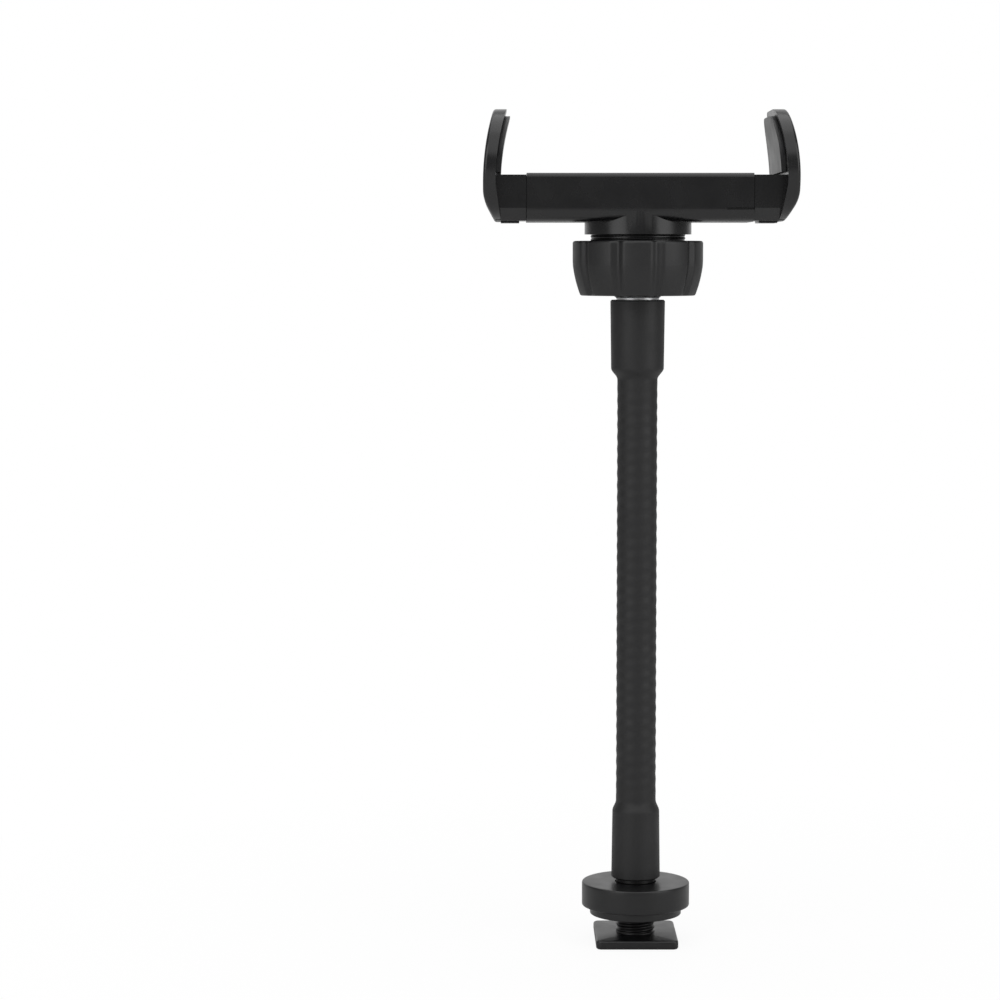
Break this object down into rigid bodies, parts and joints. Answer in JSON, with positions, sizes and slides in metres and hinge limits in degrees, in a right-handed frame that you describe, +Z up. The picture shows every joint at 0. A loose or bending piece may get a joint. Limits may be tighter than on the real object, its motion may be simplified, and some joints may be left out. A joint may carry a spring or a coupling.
{
  "type": "gooseneck phone holder",
  "caption": "Flexible neck with a sprung two-jaw phone clamp on a lobed ball head at its top and an accessory-shoe foot with a locking wheel at its base.",
  "frame": {"origin": "centre of the foot's underside, on the neck's axis", "axes": "+Z up along the straight neck, +X towards the right jaw, -Y towards the front of the picture"},
  "size_m": [0.0692, 0.037, 0.1877],
  "materials": {
    "black_metal": "satin black anodised metal",
    "sleeve_rubber": "matt shrunk tubing with faint coil ripples",
    "plain_steel": "plain drawn steel",
    "ball_chrome": "polished chrome",
    "nut_plastic": "moulded, fine satin",
    "moulded_plastic": "moulded, fine satin",
    "pad_rubber": "soft matt rubber"
  },
  "bodies": {
    "base": {"shoe_foot": "black_metal", "lower_fitting": "plain_steel", "sleeve_base": "sleeve_rubber", "core_base": "plain_steel"},
    "washer_carrier": {"pressure_washer": "black_metal"},
    "lock_wheel": {"lock_wheel": "black_metal"},
    "neck_1": {"sleeve_link_1": "sleeve_rubber", "core_link_1": "plain_steel"},
    "neck_2": {"sleeve_link_2": "sleeve_rubber", "core_link_2": "plain_steel"},
    "neck_3": {"sleeve_link_3": "sleeve_rubber", "core_link_3": "plain_steel"},
    "neck_4": {"sleeve_link_4": "sleeve_rubber", "core_link_4": "plain_steel"},
    "neck_5": {"sleeve_link_5": "sleeve_rubber", "core_link_5": "plain_steel"},
    "neck_6": {"sleeve_link_6": "sleeve_rubber", "core_link_6": "plain_steel"},
    "neck_7": {"sleeve_link_7": "sleeve_rubber", "core_link_7": "plain_steel"},
    "neck_8": {"sleeve_link_8": "sleeve_rubber", "core_link_8": "plain_steel"},
    "neck_9": {"sleeve_link_9": "sleeve_rubber", "core_link_9": "plain_steel"},
    "neck_head": {"sleeve_top": "sleeve_rubber", "core_top": "plain_steel", "upper_fitting": "plain_steel", "ball_stud": "ball_chrome"},
    "socket_pad": {"socket_pad": "pad_rubber"},
    "ball_nut": {"ball_nut": "nut_plastic"},
    "clamp": {"rear_shell": "moulded_plastic", "front_shell": "moulded_plastic", "front_pad": "pad_rubber", "shell_screws": "plain_steel", "spring_left": "plain_steel", "spring_right": "plain_steel"},
    "jaw_left": {"jaw_left": "moulded_plastic", "jaw_pad_left": "pad_rubber"},
    "jaw_right": {"jaw_right": "moulded_plastic", "jaw_pad_right": "pad_rubber"}
  },
  "joints": [
    {"name": "wheel_travel", "type": "slide", "parent": "base", "child": "washer_carrier", "axis": [0, 0, 1], "range_m": [-0.00375, 0]},
    {"name": "wheel_turn", "type": "hinge", "parent": "washer_carrier", "child": "lock_wheel", "pos_m": [0, 0, 0.011], "axis": [0, 0, 1], "range_deg": [-1081, 0]},
    {"name": "neck_bend", "type": "hinge", "parent": "base", "child": "neck_1", "pos_m": [0, 0, 0.03698], "axis": [1, 0, 0], "range_deg": [-18, 18]},
    {"name": "neck_lean", "type": "hinge", "parent": "neck_1", "child": "neck_2", "pos_m": [0, 0, 0.04654], "axis": [0, 1, 0], "range_deg": [-18, 18]},
    {"name": "neck_bend_2", "type": "hinge", "parent": "neck_2", "child": "neck_3", "pos_m": [0, 0, 0.0561], "axis": [1, 0, 0], "range_deg": [-18, 18]},
    {"name": "neck_lean_2", "type": "hinge", "parent": "neck_3", "child": "neck_4", "pos_m": [0, 0, 0.06566], "axis": [0, 1, 0], "range_deg": [-18, 18]},
    {"name": "neck_bend_3", "type": "hinge", "parent": "neck_4", "child": "neck_5", "pos_m": [0, 0, 0.07522], "axis": [1, 0, 0], "range_deg": [-18, 18]},
    {"name": "neck_lean_3", "type": "hinge", "parent": "neck_5", "child": "neck_6", "pos_m": [0, 0, 0.08478], "axis": [0, 1, 0], "range_deg": [-18, 18]},
    {"name": "neck_bend_4", "type": "hinge", "parent": "neck_6", "child": "neck_7", "pos_m": [0, 0, 0.09434], "axis": [1, 0, 0], "range_deg": [-18, 18]},
    {"name": "neck_lean_4", "type": "hinge", "parent": "neck_7", "child": "neck_8", "pos_m": [0, 0, 0.1039], "axis": [0, 1, 0], "range_deg": [-18, 18]},
    {"name": "neck_bend_5", "type": "hinge", "parent": "neck_8", "child": "neck_9", "pos_m": [0, 0, 0.11346], "axis": [1, 0, 0], "range_deg": [-18, 18]},
    {"name": "neck_lean_5", "type": "hinge", "parent": "neck_9", "child": "neck_head", "pos_m": [0, 0, 0.12302], "axis": [0, 1, 0], "range_deg": [-18, 18]},
    {"name": "ball_tilt", "type": "hinge", "parent": "neck_head", "child": "socket_pad", "pos_m": [0, 0, 0.15305], "axis": [1, 0, 0], "range_deg": [-15, 15]},
    {"name": "ball_lean", "type": "hinge", "parent": "socket_pad", "child": "ball_nut", "pos_m": [0, 0, 0.15305], "axis": [0, 1, 0], "range_deg": [-15, 15]},
    {"name": "clamp_spin", "type": "hinge", "parent": "ball_nut", "child": "clamp", "pos_m": [0, 0, 0.15305], "axis": [0, 0, 1], "continuous": true},
    {"name": "jaw_left_slide", "type": "slide", "parent": "clamp", "child": "jaw_left", "axis": [-1, 0, 0], "range_m": [0, 0.014], "stiffness_N_per_m": 300, "springref_m": -0.02, "deforming": ["spring_left"]},
    {"name": "jaw_right_slide", "type": "slide", "parent": "clamp", "child": "jaw_right", "axis": [1, 0, 0], "range_m": [0, 0.014], "stiffness_N_per_m": 300, "springref_m": -0.02, "deforming": ["spring_right"]}
  ],
  "couplings": [
    {"joint": "wheel_turn", "follows": "wheel_travel", "rad_per_m": 5026.5},
    {"joint": "neck_bend_2", "follows": "neck_bend", "ratio": 1},
    {"joint": "neck_lean_2", "follows": "neck_lean", "ratio": 1},
    {"joint": "neck_bend_3", "follows": "neck_bend", "ratio": 1},
    {"joint": "neck_lean_3", "follows": "neck_lean", "ratio": 1},
    {"joint": "neck_bend_4", "follows": "neck_bend", "ratio": 1},
    {"joint": "neck_lean_4", "follows": "neck_lean", "ratio": 1},
    {"joint": "neck_bend_5", "follows": "neck_bend", "ratio": 1},
    {"joint": "neck_lean_5", "follows": "neck_lean", "ratio": 1}
  ]
}
